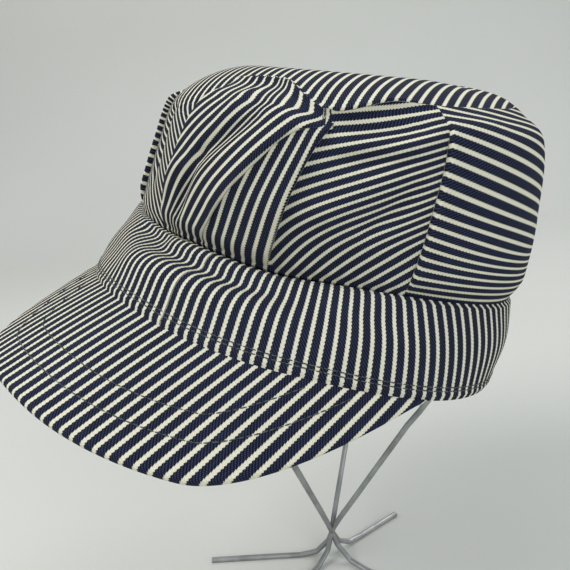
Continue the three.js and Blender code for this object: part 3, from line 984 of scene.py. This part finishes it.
# Drawn wire: fine scratches along it and dull patches
STEEL = {"bright": (0.42, 0.43, 0.43), "dull": (0.26, 0.27, 0.27)}
STEEL_DULL = {"scale": 60.0, "detail": 4.0, "range": (0.35, 0.7)}
STEEL_SCRATCH = {"scale": 900.0, "stretch": (1.0, 1.0, 0.15), "distance": 0.00005, "strength": 0.25}
STEEL_ROUGH = {"least": 0.34, "dull": 0.2, "scratch": 0.08}


def steel_finish():
    finish = Finish("drawn_wire")
    dull = finish.object_noise(STEEL_DULL["scale"], STEEL_DULL["detail"])
    scratch = finish.object_noise(STEEL_SCRATCH["scale"], stretch=STEEL_SCRATCH["stretch"])
    colour = finish.mix(dull.ramp(*STEEL_DULL["range"]), STEEL["bright"], STEEL["dull"])
    rough = STEEL_ROUGH["least"] + STEEL_ROUGH["dull"] * dull + STEEL_ROUGH["scratch"] * scratch
    finish.set(Base_Color=colour, Metallic=0.85, Roughness=rough)
    finish.bump(scratch, STEEL_SCRATCH["distance"], STEEL_SCRATCH["strength"])
    return finish.material


def floor_finish():
    finish = Finish("pale_floor")
    shade = finish.object_noise(2.0, 3.0)
    finish.set(Base_Color=finish.mix(shade, FLOOR["light"], FLOOR["dark"]), Roughness=0.75)
    return finish.material


def dress(piece, materials, slot, *nodes):
    """Gives a piece its materials, hides the CAD nodes that it stands for and hangs it on the body that it
    rides on.
    """
    for material in materials:
        piece.data.materials.append(material)
    if nodes:
        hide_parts(*nodes)
    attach(piece, "root")


def make_camera():
    camera = add_object("camera", bpy.data.cameras.new("camera"))
    camera.data.lens = CAMERA_LENS
    camera.data.sensor_width = CAMERA_SENSOR
    camera.data.clip_start = CAMERA_NEAREST
    forward = unit(np.array(CAMERA_FORWARD))
    right = np.array(CAMERA_RIGHT)
    right = unit(right - forward * (right @ forward))
    up = np.cross(right, forward)
    turn = Matrix([right, up, -forward]).transposed().to_4x4()
    camera.matrix_world = Matrix.Translation(np.array(CAMERA_PLACE) * METRES) @ turn
    bpy.context.scene.camera = camera


# The floor, in metres: it runs this way from the camera, starts at "near" and curves up at "bend" into a wall
FLOOR = {
    "away": (-0.6, 0.8), "side": (0.8, 0.6), "near": -3.0, "bend": 0.9, "radius": 0.5, "top": 3.0,
    "half_width": 4.0, "steps": 14, "light": (0.62, 0.63, 0.60), "dark": (0.56, 0.57, 0.54),
}
SKY = {"colour": (0.92, 0.96, 1.0, 1), "strength": 0.55}
# Soft round lamps: where each is and what it points at, in metres, and its power in watts
LAMP_SIZE = 0.9
LAMP_ROWS = [
    {"name": "key", "at": (-0.55, -0.75, 1.25), "to": (0, 0, 0.15), "power": 13.0, "colour": (1, 0.98, 0.94)},
    {"name": "fill", "at": (1.1, -0.5, 0.8), "to": (0, 0, 0.2), "power": 6.0, "colour": (0.95, 0.98, 1.0)},
    {"name": "back", "at": (0.2, 1.0, 1.3), "to": (0, 0, 0.2), "power": 7.0, "colour": (1.0, 1.0, 1.0)},
]


def make_lamp(row):
    light = bpy.data.lights.new(row["name"], "AREA")
    light.shape = "DISK"
    light.size = LAMP_SIZE
    light.energy = row["power"]
    light.color = row["colour"]
    lamp = add_object(row["name"], light)
    way = unit(np.array(row["at"], float) - np.array(row["to"], float))
    right = unit(np.cross([0, 0, 1], way))
    turn = Matrix([right, np.cross(way, right), way]).transposed().to_4x4()
    lamp.matrix_world = Matrix.Translation(row["at"]) @ turn


def make_stage():
    """A pale floor that curves up behind into a wall, and soft light."""
    bend, radius = FLOOR["bend"], FLOOR["radius"]
    run = [(FLOOR["near"], 0.0), (bend, 0.0)]
    for angle in np.linspace(0.1, math.pi / 2, FLOOR["steps"]):
        run.append((bend + radius * math.sin(angle), radius - radius * math.cos(angle)))
    run.append((bend + radius, FLOOR["top"]))
    points = []
    for away, height in run:
        for across in (-FLOOR["half_width"], FLOOR["half_width"]):
            points.append((*(np.array(FLOOR["away"]) * away + np.array(FLOOR["side"]) * across), height))
    faces = [(2 * row, 2 * row + 1, 2 * row + 3, 2 * row + 2) for row in range(len(run) - 1)]
    floor = make_mesh("floor", points, faces)
    floor.data.materials.append(floor_finish())
    world = bpy.data.worlds.new("world")
    world.use_nodes = True
    sky = world.node_tree.nodes["Background"]
    sky.inputs["Color"].default_value = SKY["colour"]
    sky.inputs["Strength"].default_value = SKY["strength"]
    bpy.context.scene.world = world
    for row in LAMP_ROWS:
        make_lamp(row)
    bpy.context.scene.view_settings.view_transform = "Standard"


make_camera()
make_stage()

outer_denim = denim("striped_denim")
reverse_denim = denim("denim_reverse", reverse=True)
thread = thread_finish()

dress(make_crown(), [outer_denim, reverse_denim], "crown_denim", "crown")
dress(make_band(), [outer_denim], "band_denim", "band")
dress(make_visor(), [outer_denim], "visor_denim", "visor")

visor_thread = stitches("visor_stitches", [visor_stitch_line(inset) for inset in VISOR_STITCH_INSETS])
dress(visor_thread, [thread], "visor_denim")
band_thread = stitches("band_stitches", [band_stitch_line(up, first) for up, first in BAND_STITCH_ROWS])
dress(band_thread, [thread], "band_denim")

steel = steel_finish()
for material_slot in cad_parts["wire_stand"].material_slots:
    material_slot.material = steel
